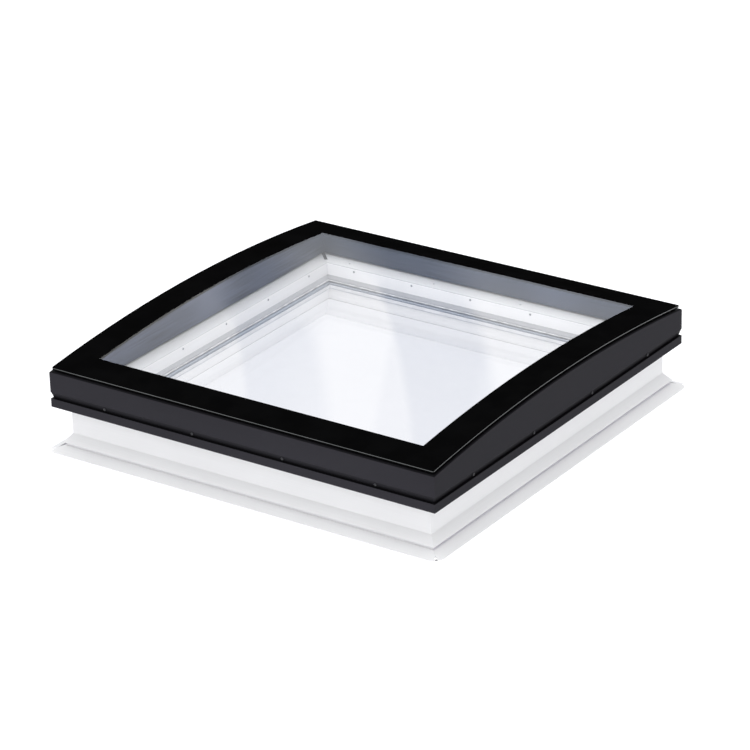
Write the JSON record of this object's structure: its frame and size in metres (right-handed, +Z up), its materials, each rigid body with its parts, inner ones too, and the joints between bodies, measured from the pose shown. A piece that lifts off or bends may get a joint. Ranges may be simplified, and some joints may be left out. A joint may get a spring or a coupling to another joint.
{
  "type": "roof skylight",
  "caption": "Fixed flat-roof skylight: white insulated kerb with a sealed double pane, under an arched glass cover on dark grey rails.",
  "frame": {"origin": "middle of the underside, on the roof plane", "axes": "+X along the straight front edge of the cover glass, +Y to the back straight edge, +Z up; the arch spans between the front and the back"},
  "size_m": [1.221, 1.221, 0.2723],
  "materials": {
    "white_upvc": "satin white extruded plastic",
    "foam": "expanded foam",
    "black_rubber": "matt extruded rubber",
    "pale_rubber": "pale grey glazing gasket",
    "clear_glass": "clear float glass",
    "spacer": "pale grey spacer bar",
    "edge_compound": "blue-grey sealing compound",
    "sealant": "black bonding strip",
    "grey_plastic": "moulded plastic",
    "white_bead": "glossy white extruded plastic",
    "ledge_grey": "pale grey satin strip",
    "screw_steel": "stainless steel",
    "screw_coated": "steel with a dark coating",
    "dark_aluminium": "dark grey powder coat, fine satin",
    "cast_aluminium": "as cast",
    "brushed_aluminium": "anodised, brushed along its length",
    "printed_glass": "clear toughened glass with a black printed border"
  },
  "bodies": {
    "root": {"kerb_front": "white_upvc", "kerb_right": "white_upvc", "kerb_back": "white_upvc", "kerb_left": "white_upvc", "core_front": "foam", "core_right": "foam", "core_back": "foam", "core_left": "foam", "corner_tabs": "white_upvc", "lower_glazing_gasket": "pale_rubber", "inner_pane": "clear_glass", "spacer_frame": "spacer", "edge_seal": "edge_compound", "outer_pane": "clear_glass", "glazing_packers": "grey_plastic", "upper_glazing_gasket": "pale_rubber", "bead_front": "white_bead", "bead_right": "white_bead", "bead_back": "white_bead", "bead_left": "white_bead", "bead_screws": "screw_steel", "ledge_strip_front": "ledge_grey", "ledge_strip_right": "ledge_grey", "ledge_strip_back": "ledge_grey", "ledge_strip_left": "ledge_grey", "ledge_screws": "screw_steel", "corner_seals": "black_rubber", "cover_seal": "black_rubber", "rail_front": "dark_aluminium", "rail_right": "dark_aluminium", "rail_back": "dark_aluminium", "rail_left": "dark_aluminium", "corner_key_front_left": "cast_aluminium", "corner_key_front_right": "cast_aluminium", "corner_key_back_right": "cast_aluminium", "corner_key_back_left": "cast_aluminium", "fascia_front": "brushed_aluminium", "fascia_right": "brushed_aluminium", "fascia_back": "brushed_aluminium", "fascia_left": "brushed_aluminium", "bond_front": "sealant", "bond_right": "sealant", "bond_back": "sealant", "bond_left": "sealant", "cover_glass": "printed_glass", "fixing_blocks": "grey_plastic", "groove_screws": "screw_coated"}
  },
  "joints": []
}
